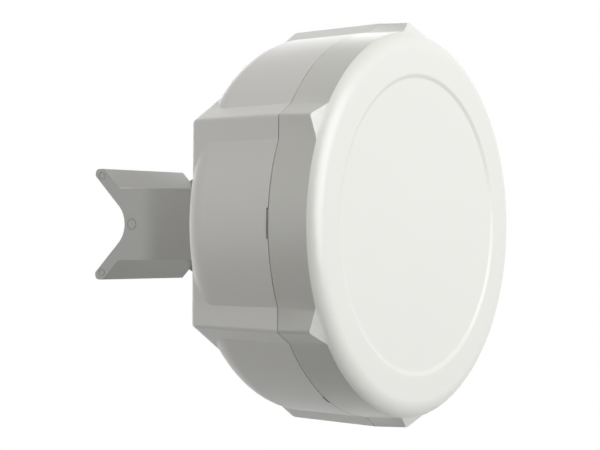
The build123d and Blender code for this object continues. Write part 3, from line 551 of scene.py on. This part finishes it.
# small parts on the main board
chipParts = {
    "count": 90,
    "sizes": ((1.0, 0.5, 0.35), (1.6, 0.8, 0.45), (2.0, 1.25, 0.55)),
    "endShare": 0.24,     # length of each metal end
    "endProud": 0.03,     # how far the ends stand out from the body
    "clearance": 0.9,     # kept free round other parts
    "edge": 2.5,          # kept free along the board's edge
    "sink": 0.02,         # how far they sit in the solder
    "reach": 2.0,         # neighbours that start higher above the board don't matter
    "bodyBevel": 0.03,
    "endBevel": 0.05,
    "bodySlots": (0, 0, 2),    # black twice as often as tan
    "endSlot": 1,
    "materials": ("blackResin", "zincSteel", "ceramicTan"),
    "neighbours": ("processor", "memory_chip", "rf_shield", "line_transformer", "capacitors", "ethernet_jack",
                   "reset_switch", "status_leds", "board_screws", "feed_pins", "jack_contacts"),
    "mostTries": 4000,
    "seed": 11,
}


def addBlock(shape, low, high, slotIndex, bevel):
    made = bmesh.ops.create_cube(shape, size=1.0)
    for vert in made["verts"]:
        vert.co = Vector([low[k] + (high[k] - low[k]) * (vert.co[k] + 0.5) for k in range(3)])
    faces = {face for vert in made["verts"] for face in vert.link_faces}
    edges = {edge for vert in made["verts"] for edge in vert.link_edges}
    for face in faces:
        face.material_index = slotIndex
    bmesh.ops.bevel(shape, geom=list(edges), offset=bevel, segments=2, affect="EDGES", profile=0.5)


def solidBoxes(names):
    # one box for each separate solid of the named nodes
    found = []
    for name in names:
        shape = bmesh.new()
        shape.from_mesh(nodes[name].data)
        bmesh.ops.remove_doubles(shape, verts=shape.verts, dist=0.01 * mm)
        left = set(shape.verts)
        while left:
            group, edge = set(), [left.pop()]
            while edge:
                vert = edge.pop()
                group.add(vert)
                for link in vert.link_edges:
                    other = link.other_vert(vert)
                    if other in left:
                        left.discard(other)
                        edge.append(other)
            found.append(([min(v.co[k] for v in group) for k in range(3)],
                          [max(v.co[k] for v in group) for k in range(3)]))
        shape.free()
    return found


def makeChipParts(setup):
    draw = random.Random(setup["seed"])
    low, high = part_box("main_board")
    top = high.y - setup["sink"] * mm
    margin = setup["clearance"] * mm
    reach = high.y + setup["reach"] * mm
    taken = [(a, b) for a, b in solidBoxes(setup["neighbours"]) if b[1] > high.y and a[1] < reach]
    shape = bmesh.new()
    placed = tries = 0
    while placed < setup["count"] and tries < setup["mostTries"]:
        tries += 1
        length, width, tall = (value * mm for value in draw.choice(setup["sizes"]))
        if draw.random() < 0.5:
            along, across = length, width
        else:
            along, across = width, length
        edge = setup["edge"] * mm
        x = draw.uniform(low.x + edge, high.x - edge)
        z = draw.uniform(low.z + edge, high.z - edge)
        start = (x - along / 2, top, z - across / 2)
        end = (x + along / 2, top + tall, z + across / 2)
        if any(start[0] < b[0] + margin and end[0] > a[0] - margin and
               start[2] < b[2] + margin and end[2] > a[2] - margin for a, b in taken):
            continue
        axis = 0 if along > across else 2
        share = setup["endShare"] * length
        proud = setup["endProud"] * mm
        inner = [list(start), list(end)]
        inner[0][axis] += share
        inner[1][axis] -= share
        addBlock(shape, inner[0], inner[1], draw.choice(setup["bodySlots"]), setup["bodyBevel"] * mm)
        for side in (0, 1):
            a, b = list(start), list(end)
            if side == 0:
                b[axis] = inner[0][axis]
            else:
                a[axis] = inner[1][axis]
            for k in range(3):
                if k != axis:
                    a[k] -= proud if k != 1 else 0.0
                    b[k] += proud
            addBlock(shape, a, b, setup["endSlot"], setup["endBevel"] * mm)
        taken.append((start, end))
        placed += 1
    mesh = bpy.data.meshes.new("board_chip_parts")
    shape.to_mesh(mesh)
    shape.free()
    for name in setup["materials"]:
        mesh.materials.append(materials[name])
    piece = bpy.data.objects.new("board_chip_parts", mesh)
    bpy.context.scene.collection.objects.link(piece)
    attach(piece, "antenna")
    return placed


print("board parts placed:", makeChipParts(chipParts))


# rolled thread on the end of the pivot bolt
boltThread = {
    "radius": 3.0,
    "crest": 0.10,        # how far the thread stands out from the shank
    "root": 0.08,         # how far it is sunk into it
    "pitch": 1.0,
    "halfWidth": 0.42,    # of the ridge, in pitches
    "steps": 40,          # points for each turn
    "fadeSteps": 8,       # points over which it rises and falls at its ends
    "chamfer": 0.6,       # plain end of the bolt
    "nutGap": 0.5,        # plain shank left before the nut, in pitches
    "fewestTurns": 0.5,
}


def makeBoltThread(setup):
    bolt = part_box("pivot_bolt")
    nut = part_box("pivot_nut")
    centre = (nut[0] + nut[1]) / 2
    nutIsLow = nut[0].z - bolt[0].z < bolt[1].z - nut[1].z
    far, near = (bolt[0].z, nut[0].z) if nutIsLow else (bolt[1].z, nut[1].z)
    way = 1 if near > far else -1
    start = far + way * setup["chamfer"] * mm
    pitch = setup["pitch"] * mm
    span = abs(near - start) - setup["nutGap"] * pitch
    turns = max(span / pitch, setup["fewestTurns"])
    count = int(turns * setup["steps"])
    profile = ((-setup["halfWidth"], -setup["root"], 0.0), (0.0, 0.0, setup["crest"]),
               (setup["halfWidth"], -setup["root"], 0.0))    # along the bolt, fixed height, height that fades
    shape = bmesh.new()
    rings = []
    for i in range(count + 1):
        angle = 2 * math.pi * i / setup["steps"]
        z = start + way * pitch * i / setup["steps"]
        fade = min(i, count - i, setup["fadeSteps"]) / setup["fadeSteps"]
        ring = []
        for offset, height, fading in profile:
            r = (setup["radius"] + height + fading * fade) * mm
            ring.append(shape.verts.new((centre.x + r * math.cos(angle), centre.y + r * math.sin(angle),
                                         z + offset * pitch)))
        rings.append(ring)
    for a, b in zip(rings, rings[1:]):
        for k in range(3):
            m = (k + 1) % 3
            shape.faces.new((a[k], a[m], b[m], b[k]))
    shape.faces.new(rings[0])
    shape.faces.new(rings[-1][::-1])
    bmesh.ops.recalc_face_normals(shape, faces=shape.faces)
    mesh = bpy.data.meshes.new("pivot_bolt_thread")
    shape.to_mesh(mesh)
    shape.free()
    mesh.materials.append(materials["boltSteel"])
    piece = bpy.data.objects.new("pivot_bolt_thread", mesh)
    bpy.context.scene.collection.objects.link(piece)
    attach(piece, "antenna")
    return round(turns, 2)


print("thread turns:", makeBoltThread(boltThread))
